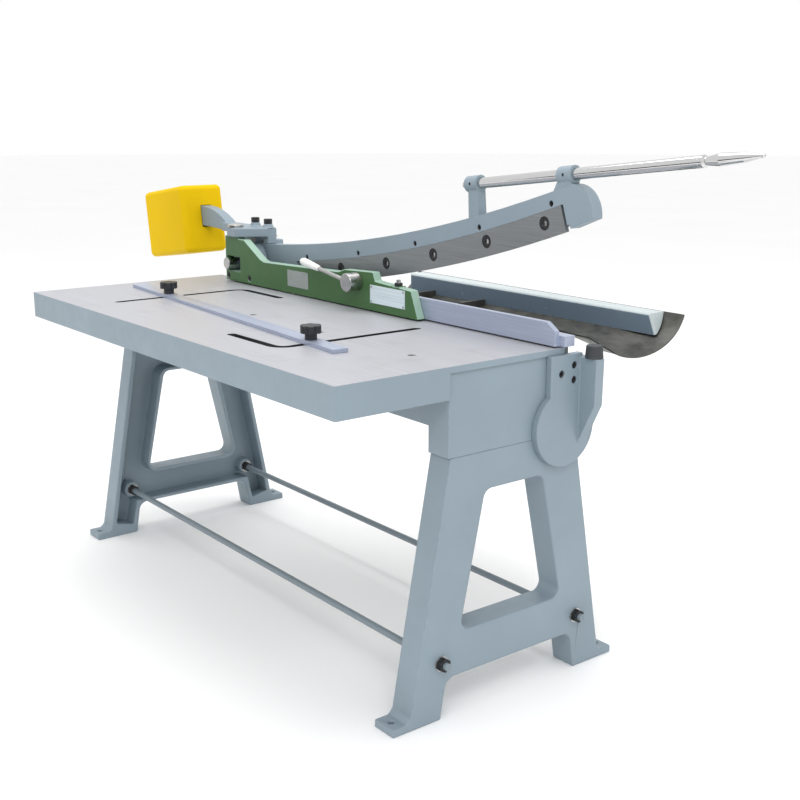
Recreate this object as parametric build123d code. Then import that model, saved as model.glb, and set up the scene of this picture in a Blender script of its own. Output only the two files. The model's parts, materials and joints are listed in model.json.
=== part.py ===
"""Hand lever shear: cast table, two leg frames, fixed beam with a cam clamp, counterweighted blade arm.

Millimetres. X runs along the cut (pivot end at -X, handle end at +X), Y is the feed direction
(operator at -Y, offcut at +Y), Z is up. The origin is on the floor in the middle of the four feet.
"""
from build123d import *
from math import cos, pi, radians, sin, sqrt, tan
import os

# ---- leg frames -------------------------------------------------------------------------------
FRAME_X = 844            # outer face of each leg frame
FRAME_W = 72             # depth of a leg frame along the cut
FRAME_TOP = 637          # seam between leg frame and bed
FRAME_WEB = 14           # outer web of the channel-like casting
FRAME_RIM = 12           # rim round the outline and the window
LEG_HALF_FLOOR = 312     # half spread of the legs above the feet
LEG_HALF_TOP = 200       # half width where the frame meets the bed
FOOT_HALF = 363          # tip of a foot pad
FOOT_T = 20              # foot pad thickness
ARCH_HALF = 222          # half width of the arch between the feet
WINDOW_HALF_TOP = 92
WINDOW_HALF_LOW = 165
WINDOW_Z = (210, 543)
ARCH_TOP = 100           # underside of the cross bar
ANCHOR_Y = 341
ANCHOR_R = 7
ROD_Y = 222              # tie rods either side of the centre line
ROD_Z = 145
ROD_R = 9
FRAME_BOLT_Y = 100       # bolts up through the top rim into the bed
FRAME_BOLT_R = 6
# ---- bed and table ----------------------------------------------------------------------------
TABLE_Z = 850            # working height
TABLE_T = 16             # machined plate thickness
TABLE_X = (-784, 850)
TABLE_FRONT = -517
BED_Y = (-206, 147)      # front and rear walls of the bed
BED_LOW = 700            # bottom of the long walls
BED_WALL = 18
REAR_WALL = 28           # thicker wall that carries the lower blade
CORNER_X = 824           # bed corner block behind the end bracket
CORNER_Y = 190
CORNER_TOP = 820
TABLE_SCREW_X = (-700, -330, 0, 330, 700)
TABLE_SCREW_Y = (-197, 133)
APRON_T = 16
APRON_DROP = 76          # front apron including the plate edge
SLOT_X = 440             # straight legs of the two L slots
SLOT_Y = (-390, 25)
SLOT_END_X = 218
SLOT_W = 24
SLOT_R = 35
# ---- blades -----------------------------------------------------------------------------------
CUT_Y = 165              # plane where the blades pass
BLADE_GAP = 0.1
CUT_X = (-290, 843)      # lower blade ends
LOWER_H = 60
LOWER_T = CUT_Y - BED_Y[1]
LOWER_SCREW_X = tuple(-230 + 160 * i for i in range(7))
LOWER_SCREW_Z = 812
UPPER_T = 12
UPPER_END = 822
SHOULDER_X = 836         # the blade's seat in the arm ends here and the nose begins
# The blade edge and the blade seat are concentric arcs about one far centre above the table.
CURVE_X = -870
CURVE_Z = 6267
EDGE_R = 5420
SEAT_R = EDGE_R - 64
BACKING_R = EDGE_R - 14  # lower outline of the casting behind the blade
# ---- blade arm --------------------------------------------------------------------------------
PIVOT = (-555, 932)      # arm pivot in X, Z
SHAFT_R = 18
EYE_R = 46
ARM_Y = (CUT_Y + BLADE_GAP, 197)
ARM_MID = 181
TAIL_X = -745
PAD_TOP = 1000           # top of the tail pad under the balance arm
PAD_X = -655
PAD_FRONT = -585         # the pad's forward end, under the first balance bolt
NOSE_X = 905
NOSE_LOW = 1153          # lower front corner of the nose, raised arm
NOSE_TOP = (880, 1212)   # a point on the rounded front of the nose
TOP_ARC = ((-640, 970), (127, 1052), (838, 1229))
BLADE_SCREW_X = (-95, 127, 335, 546, 750)
BLADE_SCREW_R = 8
BLADE_HEAD_R = 15.5
SET_SCREW_R = 7.5
SET_SCREW_X = (-278, -8, 257, 518, 771)
# ---- pivot bracket ----------------------------------------------------------------------------
CHEEK_FRONT = (125, 163)
CHEEK_REAR = (199, 231)
BASE_X = (-665, -470)
BASE_TOP = 856
BUSH_R = 24
BRACKET_BOLT_R = 7
# ---- handle -----------------------------------------------------------------------------------
HANDLE_TILT = 6.2        # degrees, raised arm
HANDLE_START = (484, 1213.3)
HANDLE_R = 14
BOSS_R = 21
BOSS_L = 44
FRONT_BOSS_S = 328       # distance of the front boss along the rod
ROD_END_S = 706
GRIP_L = 156
# ---- balance arm and counterweight ------------------------------------------------------------
PLATE_Z = (1000, 1028)
NECK_Y = (161, 198)
LUG_X = (-535, -503)
WEIGHT_C = (-1080, 170, 1010)
WEIGHT_SIZE = (295, 162, 234)
WEIGHT_ROUND = 18
WEIGHT_TILT = 8
WEIGHT_SCREW = (112, 10) # clamping screw in the weight's own X, Y
NECK_END = -985          # the neck bottoms in the weight's pocket
DISC_XY = (-600, 101)    # adjustable stop screw in the lobe over the beam's post
HEX_X = (-602, -523)
BOLT_Y = 178
HEX_BOSS = 12            # raised bosses under the two bolts
PLATE_BACK = 198
# ---- fixed beam and clamp bar -----------------------------------------------------------------
BEAM_Y = (88, 114)
BEAM_X = (-648, 366)
BEAM_LOW = 854
BEAM_RIDGE = 934
POST_TOP = 993
STOP_PAD = (-565, 999.9) # raised pad on the post that holds the balance arm when the blade is up
BEAM_BOLTS = ((-632, 869), (-500, 872))
PLATE_BOX = ((156, 312), (876, 926))
LABEL_BOX = ((-270, -156), (875, 925))
STUD_XY = (267, 101)
STUD_BORE = 6
STUD_FLAT = 932          # milled flat under the stud's nut
CAM_XZ = (94, 928)
CAM_R = 26
CAM_FACE_Y = 46
CAM_THROW = 2.83         # eccentric offset, 45 degrees up at rest
ECC_R = 12
CLAMP_Y = (114.1, 128)
CLAMP_X = (-280, 848)
CLAMP_LOW = 854.5
CLAMP_TOP = 910
FOOT_Y = 161
FOOT_END = 867           # the foot runs past the bar's end
FOOT_TOP = 880
PIN_XZ = (-621, 910)     # anchor pin of the beam
PIN_R = 19
GUIDE_X = (-180, 310)    # shoulder screws guiding the clamp bar
GUIDE_Z = 895
LEVER_ANGLE = 171.2      # degrees from +X, anticlockwise seen from the front
LEVER_Y = 60
# ---- end bracket ------------------------------------------------------------------------------
END_T = 18
END_Y = (92, 196)
END_TOP = 834
LUG_Y = (188, 216)
LUG_END = 914
LUG_DROP = 10            # lug top below the plate's top
BUMPER_XY = (892, 203)
BUMPER_H = 31
BUMPER_R = (22, 19.5)
END_BOWL = (146, 655, 96)   # centre Y, Z and radius of the rounded lower part
END_SCREWS = ((128, 789), (170.5, 806), (170.5, 770))
END_SCREW_R = 5
END_HEAD_R = 8.5
# ---- gauge ------------------------------------------------------------------------------------
GAUGE_Y = -264           # centre line of the gauge where it crosses X = 0
GAUGE_TILT = -4.68       # the gauge is set at this angle to the cut, degrees
GAUGE_W = 42
GAUGE_T = 10
GAUGE_X = (-686, 580)
KNOB_R = 26
STUD_R = 5
STUD_HEAD = 18
STUD_PASS = 22           # notches in the bed's front wall that let the stud heads pass
# ---- offcut tray ------------------------------------------------------------------------------
TRAY_X = (-212, 872)
TRAY_PROFILE = ((292, 852), (338, 836), (395, 824), (450, 822), (505, 836), (530, 855), (556, 889))
TRAY_DEEP = ((292, 849), (316, 830), (345, 812), (395, 802), (452, 809), (516, 838), (556, 889))
TRAY_LIP = ((292, 825), (316, 815), (345, 807), (395, 802), (452, 809), (516, 838), (556, 889))
TRAY_STEP = (690, 790)    # the floor drops between these X to the deep discharge end
TRAY_SHIFT = (0.5, -5)    # inner to outer surface of the sheet, in Y and Z
GUARD_X = (-187, 829)     # folded guard on the rear wall of the tray
GUARD_SLANT = 24
GUARD_Y = (500, 555)
GUARD_Z = (830, 888)
GUARD_T = 3
GUARD_R = 8
BRACKET_X = (20, 560)
BRACKET_T = 14
BRACKET_BOLT_Z = 741
TRAY_BOLT_Y = 388
TRAY_BOLT_Z = 823
RIB_X = (-60, 172)        # webs standing on the tray floor in front of the guard
RIB_PROFILE = ((402, 820), (402, 848), (497, 848), (497, 831), (470, 821), (450, 819))


def block(x, y, z):
    """Axis-aligned block between pairs of coordinates."""
    size = Box(x[1] - x[0], y[1] - y[0], z[1] - z[0])
    return Pos((x[0] + x[1]) / 2, (y[0] + y[1]) / 2, (z[0] + z[1]) / 2) * size


def bar_x(x, y, z, r):
    return Pos((x[0] + x[1]) / 2, y, z) * Rot(0, 90, 0) * Cylinder(r, x[1] - x[0])


def bar_y(x, y, z, r):
    return Pos(x, (y[0] + y[1]) / 2, z) * Rot(90, 0, 0) * Cylinder(r, y[1] - y[0])


def bar_z(x, y, z, r):
    return Pos(x, y, (z[0] + z[1]) / 2) * Cylinder(r, z[1] - z[0])


def face_xz(points, y):
    return make_face(Polyline(*[(x, y, z) for x, z in points], close=True)).face()


def face_yz(points, x):
    return make_face(Polyline(*[(x, y, z) for y, z in points], close=True)).face()


def prism_y(points, y):
    """Outline in the X-Z plane pushed along +Y."""
    return extrude(face_xz(points, y[0]), amount=y[1] - y[0], dir=(0, 1, 0))


def prism_x(points, x):
    """Outline in the Y-Z plane pushed along +X."""
    return extrude(face_yz(points, x[0]), amount=x[1] - x[0], dir=(1, 0, 0))


def hexagon(centre, axis, across, length):
    """Hexagonal prism starting at centre and growing along axis."""
    plane = Plane(origin=centre, z_dir=axis)
    return extrude(plane * RegularPolygon(across / sqrt(3), 6), amount=length)


def socket_screw(centre, axis, head_r, head_h, shank_r, length):
    """Cap screw: head seat at centre, head growing against axis, shank along axis."""
    plane = Plane(origin=centre, z_dir=axis)
    head = plane * Pos(0, 0, -head_h / 2) * Cylinder(head_r, head_h)
    key = plane * Pos(0, 0, -head_h) * extrude(RegularPolygon(head_r * 0.55, 6), amount=head_h * 0.55)
    shank = plane * Pos(0, 0, length / 2) * Cylinder(shank_r, length)
    return head - key + shank


def hex_bolt(centre, axis, across, head_h, shank_r, length):
    """Hexagon bolt: head seat at centre, head growing against axis, shank along axis."""
    back = tuple(-a for a in axis)
    plane = Plane(origin=centre, z_dir=axis)
    shank = plane * Pos(0, 0, length / 2) * Cylinder(shank_r, length)
    return hexagon(centre, back, across, head_h) + shank


def curve_z(radius, x):
    """Height of a concentric blade arc at x."""
    return CURVE_Z - sqrt(radius ** 2 - (x - CURVE_X) ** 2)


def curve(radius, x0, x1, y):
    points = [(x, y, curve_z(radius, x)) for x in (x0, (x0 + x1) / 2, x1)]
    return ThreePointArc(*points)


def band(radius_low, radius_high, x0, x1, y):
    """Curved strip between two concentric arcs, ends square to the curve."""
    low = curve(radius_low, x0, x1, y[0])
    lift = (radius_low - radius_high)
    top0 = x0 + lift * (CURVE_X - x0) / radius_low
    top1 = x1 + lift * (CURVE_X - x1) / radius_low
    high = curve(radius_high, top0, top1, y[0])
    ends = [Line(low @ 0, high @ 0), Line(low @ 1, high @ 1)]
    return extrude(make_face([low, high] + ends), amount=y[1] - y[0], dir=(0, 1, 0))


# ---- stand ------------------------------------------------------------------------------------
def frame_outline(x):
    right = [(LEG_HALF_TOP, FRAME_TOP), (LEG_HALF_FLOOR, FOOT_T + 12), (LEG_HALF_FLOOR + 12, FOOT_T),
             (FOOT_HALF, FOOT_T), (FOOT_HALF, 0), (ARCH_HALF, 0), (ARCH_HALF - 18, ARCH_TOP)]
    left = [(-y, z) for y, z in reversed(right)]
    face = face_yz(left + right, x)
    arch = [v for v in face.vertices() if abs(v.Z - ARCH_TOP) < 1]
    return face.fillet_2d(28, arch)


def frame_window(x, grow):
    points = [(-WINDOW_HALF_LOW - grow, WINDOW_Z[0] - grow), (WINDOW_HALF_LOW + grow, WINDOW_Z[0] - grow),
              (WINDOW_HALF_TOP + grow, WINDOW_Z[1] + grow), (-WINDOW_HALF_TOP - grow, WINDOW_Z[1] + grow)]
    face = face_yz(points, x)
    return face.fillet_2d(24 + grow, face.vertices())


def leg_pocket(x, depth):
    """Recess on the inner side that leaves a web and a rim all round."""
    rim = FRAME_RIM
    slope = (LEG_HALF_FLOOR - LEG_HALF_TOP) / (FRAME_TOP - FOOT_T - 12)
    half = [(LEG_HALF_TOP - rim + slope * 2, FRAME_TOP - rim), (LEG_HALF_FLOOR - rim - 6, 44),
            (ARCH_HALF + rim, 30), (ARCH_HALF - 6, ARCH_TOP + rim)]
    outline = face_yz([(-y, z) for y, z in reversed(half)] + half, x)
    pocket = extrude(outline, amount=depth, dir=(1, 0, 0))
    island = extrude(frame_window(x, rim), amount=depth, dir=(1, 0, 0))
    return pocket - island


def leg_frame():
    """Right-hand frame: flat web outside, open channel inside."""
    x0 = FRAME_X - FRAME_W
    body = extrude(frame_outline(x0), amount=FRAME_W, dir=(1, 0, 0))
    body -= extrude(frame_window(x0 - 1, 0), amount=FRAME_W + 2, dir=(1, 0, 0))
    body -= leg_pocket(x0, FRAME_W - FRAME_WEB)
    for y in (-ROD_Y, ROD_Y):
        body += bar_x((x0 + 22, FRAME_X), y, ROD_Z, 26)
        body -= bar_x((x0 - 1, FRAME_X + 1), y, ROD_Z, ROD_R + 0.05)
    for y in (-ANCHOR_Y, ANCHOR_Y):
        body -= bar_z(FRAME_X - FRAME_W / 2, y, (-1, FOOT_T + 1), ANCHOR_R)
    for y in (-FRAME_BOLT_Y, FRAME_BOLT_Y):
        body -= bar_z(FRAME_X - FRAME_W / 2, y, (FRAME_TOP - 20, FRAME_TOP + 1), FRAME_BOLT_R + 0.1)
    return body


def tie_rod(y):
    return bar_x((-FRAME_X - 26, FRAME_X + 26), y, ROD_Z, ROD_R)


def tie_rod_nuts():
    nuts = []
    for y in (-ROD_Y, ROD_Y):
        for side in (-1, 1):
            for start, way in ((FRAME_X + 3, side), (FRAME_X - FRAME_W + 19, -side)):
                nut = hexagon((side * start, y, ROD_Z), (way, 0, 0), 30, 14)
                bore = bar_x((side * start - 20, side * start + 20), y, ROD_Z, ROD_R)
                nuts.append(nut - bore)
    return nuts


def tie_rod_washers():
    washers = []
    for y in (-ROD_Y, ROD_Y):
        for side in (-1, 1):
            for inner, outer in ((FRAME_X, FRAME_X + 3), (FRAME_X - FRAME_W + 19, FRAME_X - FRAME_W + 22)):
                ends = sorted((side * inner, side * outer))
                washers.append(bar_x(ends, y, ROD_Z, 19) - bar_x(ends, y, ROD_Z, ROD_R))
    return washers


def frame_bolts():
    """Bolts up through the frame top rims into the bed."""
    bolts = []
    for x in (-1, 1):
        for y in (-FRAME_BOLT_Y, FRAME_BOLT_Y):
            seat = (x * (FRAME_X - FRAME_W / 2), y, FRAME_TOP - FRAME_RIM)
            bolts.append(hex_bolt(seat, (0, 0, 1), 19, 8, FRAME_BOLT_R, 26))
    return bolts


# ---- bed and table ----------------------------------------------------------------------------
def bed():
    plate_low = TABLE_Z - TABLE_T
    front = block((-FRAME_X, FRAME_X), (BED_Y[0], BED_Y[0] + BED_WALL), (BED_LOW, plate_low))
    rear = block((-FRAME_X, FRAME_X), (BED_Y[1] - REAR_WALL, BED_Y[1]), (BED_LOW, plate_low))
    body = front + rear
    for side in (-1, 1):
        ends = sorted((side * (FRAME_X - FRAME_W), side * FRAME_X))
        body += block(ends, (BED_Y[0], BED_Y[1]), (FRAME_TOP, plate_low))
        hollow = sorted((side * (FRAME_X - FRAME_W - 1), side * (FRAME_X - BED_WALL)))
        body -= block(hollow, (BED_Y[0] + BED_WALL, BED_Y[1] - REAR_WALL),
                      (FRAME_TOP + BED_WALL, plate_low - 14))
        for y in (-FRAME_BOLT_Y, FRAME_BOLT_Y):
            body -= bar_z(side * (FRAME_X - FRAME_W / 2), y, (FRAME_TOP - 1, FRAME_TOP + 16), FRAME_BOLT_R)
    body += block((CORNER_X, FRAME_X), (BED_Y[1] - 1, CORNER_Y), (BED_LOW, TABLE_Z - LOWER_H - 0.1))
    body += block((CORNER_X, FRAME_X), (CUT_Y + 0.2, CORNER_Y), (BED_LOW, CORNER_TOP))
    for x in (-SLOT_X, SLOT_X):
        body -= block((x - STUD_PASS, x + STUD_PASS), (BED_Y[0] - 1, BED_Y[0] + BED_WALL + 1),
                      (plate_low - STUD_PASS, plate_low + 1))
    for x in TABLE_SCREW_X:
        for y in TABLE_SCREW_Y:
            body -= bar_z(x, y, (plate_low - 26, plate_low + 1), 5)
    for x in LOWER_SCREW_X:
        body -= bar_y(x, (BED_Y[1] - 22, BED_Y[1] + 1), LOWER_SCREW_Z, 5)
    for x, z in pedestal_bolt_places():
        body -= bar_y(x, (BED_Y[1] - 24, BED_Y[1] + 1), z, BRACKET_BOLT_R)
    for x, z in bracket_bolt_places():
        body -= bar_y(x, (BED_Y[1] - 24, BED_Y[1] + 1), z, 6)
    for y, z in END_SCREWS:
        body -= bar_x((FRAME_X - 17, FRAME_X + 1), y, z, END_SCREW_R)
    return body


def slot_path(sign):
    """One L slot; the second is the first turned half round the middle of the table."""
    middle = (SLOT_Y[0] + SLOT_Y[1]) / 2
    reach = (SLOT_Y[1] - SLOT_Y[0]) / 2
    half = SLOT_W / 2
    start = (sign * -SLOT_X, middle - sign * reach)
    corner = (sign * -SLOT_X, middle + sign * reach)
    end = (sign * -SLOT_END_X, middle + sign * reach)
    z = (TABLE_Z - TABLE_T - 1, TABLE_Z + 1)
    ys = sorted((start[1], corner[1] - sign * SLOT_R))
    xs = sorted((corner[0] + sign * SLOT_R, end[0]))
    cut = block((start[0] - half, start[0] + half), ys, z)
    cut += block(xs, (end[1] - half, end[1] + half), z)
    cut += bar_z(start[0], start[1], z, half) + bar_z(end[0], end[1], z, half)
    centre = (corner[0] + sign * SLOT_R, corner[1] - sign * SLOT_R)
    ring = bar_z(*centre, z, SLOT_R + half) - bar_z(*centre, z, SLOT_R - half)
    quarter_x = sorted((centre[0], corner[0] - sign * half))
    quarter_y = sorted((centre[1], corner[1] + sign * half))
    return cut + ring & (cut + block(quarter_x, quarter_y, z))


def table():
    low = TABLE_Z - TABLE_T
    skirt = TABLE_Z - APRON_DROP
    back = BED_Y[0] - 1
    body = block(TABLE_X, (TABLE_FRONT, BED_Y[1]), (low, TABLE_Z))
    body += block(TABLE_X, (TABLE_FRONT, TABLE_FRONT + APRON_T), (skirt, low))
    body += block((TABLE_X[0], TABLE_X[0] + APRON_T), (TABLE_FRONT, back), (skirt, low))
    body += block((TABLE_X[1] - APRON_T, TABLE_X[1]), (TABLE_FRONT, back), (skirt, low))
    for x in (-610, -200, 200, 610):
        body += block((x - 6, x + 6), (TABLE_FRONT + APRON_T, back), (low - 40, low))
    for sign in (-1, 1):
        body -= slot_path(sign)
    for x in TABLE_SCREW_X:
        for y in TABLE_SCREW_Y:
            body -= bar_z(x, y, (low - 1, TABLE_Z + 1), 5.1)
            body -= Pos(x, y, TABLE_Z - 3) * Cone(5.1, 10.1, 6)
    return body


def table_screws():
    screws = []
    for x in TABLE_SCREW_X:
        for y in TABLE_SCREW_Y:
            head = Pos(x, y, TABLE_Z - 3.1) * Cone(5, 9.8, 5.8)
            shank = bar_z(x, y, (TABLE_Z - TABLE_T - 24, TABLE_Z - 5.9), 5)
            key = Pos(x, y, TABLE_Z - 3) * extrude(RegularPolygon(4.5, 6), amount=4)
            screws.append(head + shank - key)
    return screws


# ---- blades -----------------------------------------------------------------------------------
def lower_blade():
    body = block(CUT_X, (BED_Y[1], CUT_Y), (TABLE_Z - LOWER_H, TABLE_Z))
    for x in LOWER_SCREW_X:
        body -= bar_y(x, (BED_Y[1] - 1, CUT_Y + 1), LOWER_SCREW_Z, 5.1)
        body -= Pos(x, CUT_Y - 3, LOWER_SCREW_Z) * Rot(-90, 0, 0) * Cone(5.1, 11.1, 6)
    return body


def lower_blade_screws():
    screws = []
    for x in LOWER_SCREW_X:
        head = Pos(x, CUT_Y - 3.3, LOWER_SCREW_Z) * Rot(-90, 0, 0) * Cone(5, 10, 5.4)
        key = hexagon((x, CUT_Y - 4, LOWER_SCREW_Z), (0, 1, 0), 8, 6)
        screws.append(head + bar_y(x, (BED_Y[1] - 20, CUT_Y - 6), LOWER_SCREW_Z, 5) - key)
    return screws


def blade_screw_z(x):
    return curve_z(EDGE_R - 36, x)


def upper_blade():
    y = (CUT_Y + BLADE_GAP, CUT_Y + BLADE_GAP + UPPER_T)
    body = band(EDGE_R, SEAT_R + 0.1, CUT_X[0] + 8, UPPER_END, y)
    for x in BLADE_SCREW_X:
        body -= bar_y(x, (y[0] - 1, y[1] + 1), blade_screw_z(x), BLADE_SCREW_R + 0.1)
        body -= bar_y(x, (y[0] - 1, y[0] + 8), blade_screw_z(x), BLADE_HEAD_R + 1.5)
    return body


def upper_blade_screws():
    seat = CUT_Y + BLADE_GAP + 8
    screws = []
    for x in BLADE_SCREW_X:
        screws.append(socket_screw((x, seat, blade_screw_z(x)), (0, 1, 0), BLADE_HEAD_R, 7, BLADE_SCREW_R, 21.5))
    return screws


def set_screws():
    screws = []
    for x in SET_SCREW_X:
        z = curve_z(SEAT_R, x) + 12
        body = bar_y(x, (ARM_Y[0] + 3, ARM_Y[0] + 16), z, SET_SCREW_R)
        screws.append(body - hexagon((x, ARM_Y[0] + 1, z), (0, 1, 0), 7, 9))
    return screws


# ---- blade arm --------------------------------------------------------------------------------
def handle_point(s):
    """Point on the handle axis, s along the rod from its rear boss."""
    tilt = radians(HANDLE_TILT)
    return (HANDLE_START[0] + s * cos(tilt), ARM_MID, HANDLE_START[1] + s * sin(tilt))


def along_handle(s0, s1, r):
    plane = Plane(origin=handle_point(s0), z_dir=(cos(radians(HANDLE_TILT)), 0, sin(radians(HANDLE_TILT))))
    return plane * Pos(0, 0, (s1 - s0) / 2) * Cylinder(r, s1 - s0)


def arm_profile():
    """Side outline of the arm casting: tail pad, eye, curved beam and rounded nose."""
    y = ARM_Y[0]
    top = ThreePointArc(*[(x, y, z) for x, z in TOP_ARC])
    nose_low = (SHOULDER_X, curve_z(EDGE_R, SHOULDER_X) + 4)
    nose = ThreePointArc((TOP_ARC[2][0], y, TOP_ARC[2][1]), (NOSE_TOP[0], y, NOSE_TOP[1]), (NOSE_X, y, NOSE_LOW))
    low = curve(BACKING_R, CUT_X[0], SHOULDER_X, y)
    chain = [(SHOULDER_X, curve_z(BACKING_R, SHOULDER_X)), nose_low, (NOSE_X, NOSE_LOW)]
    under = Polyline(*[(x, y, z) for x, z in chain])
    back = [(CUT_X[0], curve_z(BACKING_R, CUT_X[0])), (-440, 884), (PIVOT[0], PIVOT[1] - EYE_R),
            (-640, 905), (TAIL_X, 945), (TAIL_X, PAD_TOP), (PAD_X, PAD_TOP), TOP_ARC[0]]
    tail = Polyline(*[(x, y, z) for x, z in back])
    return make_face([top, nose, under, low, tail])


def blade_arm():
    thick = ARM_Y[1] - ARM_Y[0]
    body = extrude(arm_profile(), amount=thick, dir=(0, 1, 0))
    body += block((PAD_X - 5, PAD_FRONT), ARM_Y, (940, PAD_TOP))
    body += bar_y(PIVOT[0], ARM_Y, PIVOT[1], EYE_R)
    recess = (ARM_Y[0] - 1, CUT_Y + BLADE_GAP + UPPER_T)
    body -= band(EDGE_R + 20, SEAT_R, CUT_X[0] - 40, SHOULDER_X, recess)
    body += rear_post()
    body += along_handle(-BOSS_L / 2, BOSS_L / 2, BOSS_R)
    body += along_handle(FRONT_BOSS_S - BOSS_L / 2, FRONT_BOSS_S + BOSS_L / 2, BOSS_R)
    body += front_post()
    body -= along_handle(-60, FRONT_BOSS_S + 60, HANDLE_R + 0.02)
    body -= bar_y(PIVOT[0], (ARM_Y[0] - 1, ARM_Y[1] + 1), PIVOT[1], BUSH_R)
    for x in BLADE_SCREW_X:
        body -= bar_y(x, (recess[1] - 1, ARM_Y[1] - 2), blade_screw_z(x), BLADE_SCREW_R)
    for x in SET_SCREW_X:
        body -= bar_y(x, (ARM_Y[0] - 1, ARM_Y[0] + 16), curve_z(SEAT_R, x) + 12, SET_SCREW_R)
    body -= bar_z(HEX_X[0], BOLT_Y, (968, 1010), 6)
    body -= bar_z(HEX_X[1], BOLT_Y, (957, 1010), 6)
    for s in (0, FRONT_BOSS_S):
        x, y, z = handle_point(s)
        body -= bar_y(x, (y - BOSS_R - 2, y), z, 4)
    return body


def rear_post():
    x, y, z = handle_point(0)
    points = [(x - 12, z - 8), (x + 22, z - 8), (x + 30, curve_z(SEAT_R, x + 30) + 30),
              (x - 8, curve_z(SEAT_R, x - 8) + 30)]
    return prism_y(points, (ARM_MID - 14, ARM_MID + 14))


def front_post():
    x, y, z = handle_point(FRONT_BOSS_S)
    points = [(x - 18, z - 6), (x + 18, z - 6), (x + 30, z - 40), (x - 40, z - 50)]
    return prism_y(points, (ARM_MID - 14, ARM_MID + 14))


def handle_rod():
    return along_handle(-30, ROD_END_S, HANDLE_R) + along_handle(-42, -30, 8)


def handle_grip():
    """Turned grip: collar, neck, long spindle and a small ball end."""
    stations = [(0, HANDLE_R), (10, HANDLE_R), (14, 9), (20, 10), (52, 14.5), (110, 11), (142, 5.5), (149, 4)]
    outline = [(0, 0)] + [(r, s) for s, r in stations] + [(0, 149)]
    body = revolve(make_face(Polyline(*[(r, 0, s) for r, s in outline], close=True)), Axis.Z)
    body += Pos(0, 0, 151) * Sphere(5)
    tilt = radians(HANDLE_TILT)
    plane = Plane(origin=handle_point(ROD_END_S), z_dir=(cos(tilt), 0, sin(tilt)))
    return plane * body


def handle_grub_screws():
    screws = []
    for s in (0, FRONT_BOSS_S):
        x, y, z = handle_point(s)
        body = bar_y(x, (y - BOSS_R + 1.5, y - HANDLE_R - 0.3), z, 4)
        screws.append(body - hexagon((x, y - BOSS_R, z), (0, 1, 0), 4, 4))
    return screws


# ---- pivot ------------------------------------------------------------------------------------
def pedestal_bolt_places():
    return [(x, z) for x in (-640, -495) for z in (735, 800)]


def pivot_bracket():
    """Fork bolted to the rear wall of the bed, one cheek each side of the arm."""
    body = block(BASE_X, (BED_Y[1], CHEEK_REAR[1]), (BED_LOW, BASE_TOP))
    cheek = [(BASE_X[0], TABLE_Z + 1), (BASE_X[1], TABLE_Z + 1), (PIVOT[0] + 44, 945), (PIVOT[0] - 50, 955),
             (BASE_X[0], 940)]
    rear = [(BASE_X[0] + 20, BASE_TOP - 1), (BASE_X[1], BASE_TOP - 1), (PIVOT[0] + 44, 945),
            (PIVOT[0] + 38, 988), (PIVOT[0] - 62, 988), (PIVOT[0] - 66, 945)]
    body += prism_y(cheek, CHEEK_FRONT) + bar_y(PIVOT[0], CHEEK_FRONT, PIVOT[1], 44)
    body += prism_y(rear, CHEEK_REAR) + bar_y(PIVOT[0], CHEEK_REAR, PIVOT[1], 44)
    body -= bar_y(PIVOT[0], (CHEEK_FRONT[0] - 1, CHEEK_REAR[1] + 1), PIVOT[1], SHAFT_R)
    body -= bar_y(PIN_XZ[0], (CHEEK_FRONT[0] - 1, CHEEK_FRONT[1] - 3), PIN_XZ[1], 12)
    for x, z in pedestal_bolt_places():
        body -= bar_y(x, (BED_Y[1] - 1, CHEEK_REAR[1] + 1), z, BRACKET_BOLT_R + 0.1)
    for x, z in BEAM_BOLTS:
        body -= bar_y(x, (CHEEK_FRONT[0] - 1, CHEEK_FRONT[1] - 3), z, 6)
    return body


def pedestal_bolts():
    reach = CHEEK_REAR[1] - BED_Y[1] + 22
    return [hex_bolt((x, CHEEK_REAR[1], z), (0, -1, 0), 22, 9, BRACKET_BOLT_R, reach)
            for x, z in pedestal_bolt_places()]


def pivot_shaft():
    body = bar_y(PIVOT[0], (119, 241), PIVOT[1], SHAFT_R)
    return body + bar_y(PIVOT[0], (118, 125), PIVOT[1], 26)


def shaft_collar():
    ring = bar_y(PIVOT[0], (CHEEK_REAR[1] + 0.3, 240), PIVOT[1], 27)
    return ring - bar_y(PIVOT[0], (CHEEK_REAR[1], 241), PIVOT[1], SHAFT_R)


def pivot_bush():
    ring = bar_y(PIVOT[0], (ARM_Y[0] + 0.2, ARM_Y[1] - 0.2), PIVOT[1], BUSH_R)
    return ring - bar_y(PIVOT[0], (ARM_Y[0] - 1, ARM_Y[1] + 1), PIVOT[1], SHAFT_R + 0.05)


# ---- balance arm ------------------------------------------------------------------------------
def balance_arm():
    """Plate over the arm, lug down to the arm top, lobe over the beam post, curved neck."""
    plan = [(-632, 100), (-615, 76), (-562, 76), (LUG_X[1], 158), (LUG_X[1], PLATE_BACK),
            (-780, PLATE_BACK), (-780, 150), (-680, 150)]
    plate = extrude(make_face(Polyline(*[(x, y, PLATE_Z[0]) for x, y in plan], close=True)),
                    amount=PLATE_Z[1] - PLATE_Z[0], dir=(0, 0, 1))
    lug = prism_y([(LUG_X[0], PLATE_Z[0] + 1), (LUG_X[0], arm_top(LUG_X[0])), (LUG_X[1], arm_top(LUG_X[1])),
                   (LUG_X[1], PLATE_Z[0] + 1)], (ARM_Y[0], ARM_Y[1]))
    neck = neck_solid()
    body = plate + lug + neck
    top = PLATE_Z[1] + HEX_BOSS
    for x in HEX_X:
        body += Pos(x, BOLT_Y, PLATE_Z[1] + HEX_BOSS / 2) * Cone(19, 14, HEX_BOSS)
        body -= bar_z(x, BOLT_Y, (900, top + 1), 6.1)
    return body - bar_z(*DISC_XY, (PLATE_Z[0] - 1, PLATE_Z[1] + 1), 8)


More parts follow.
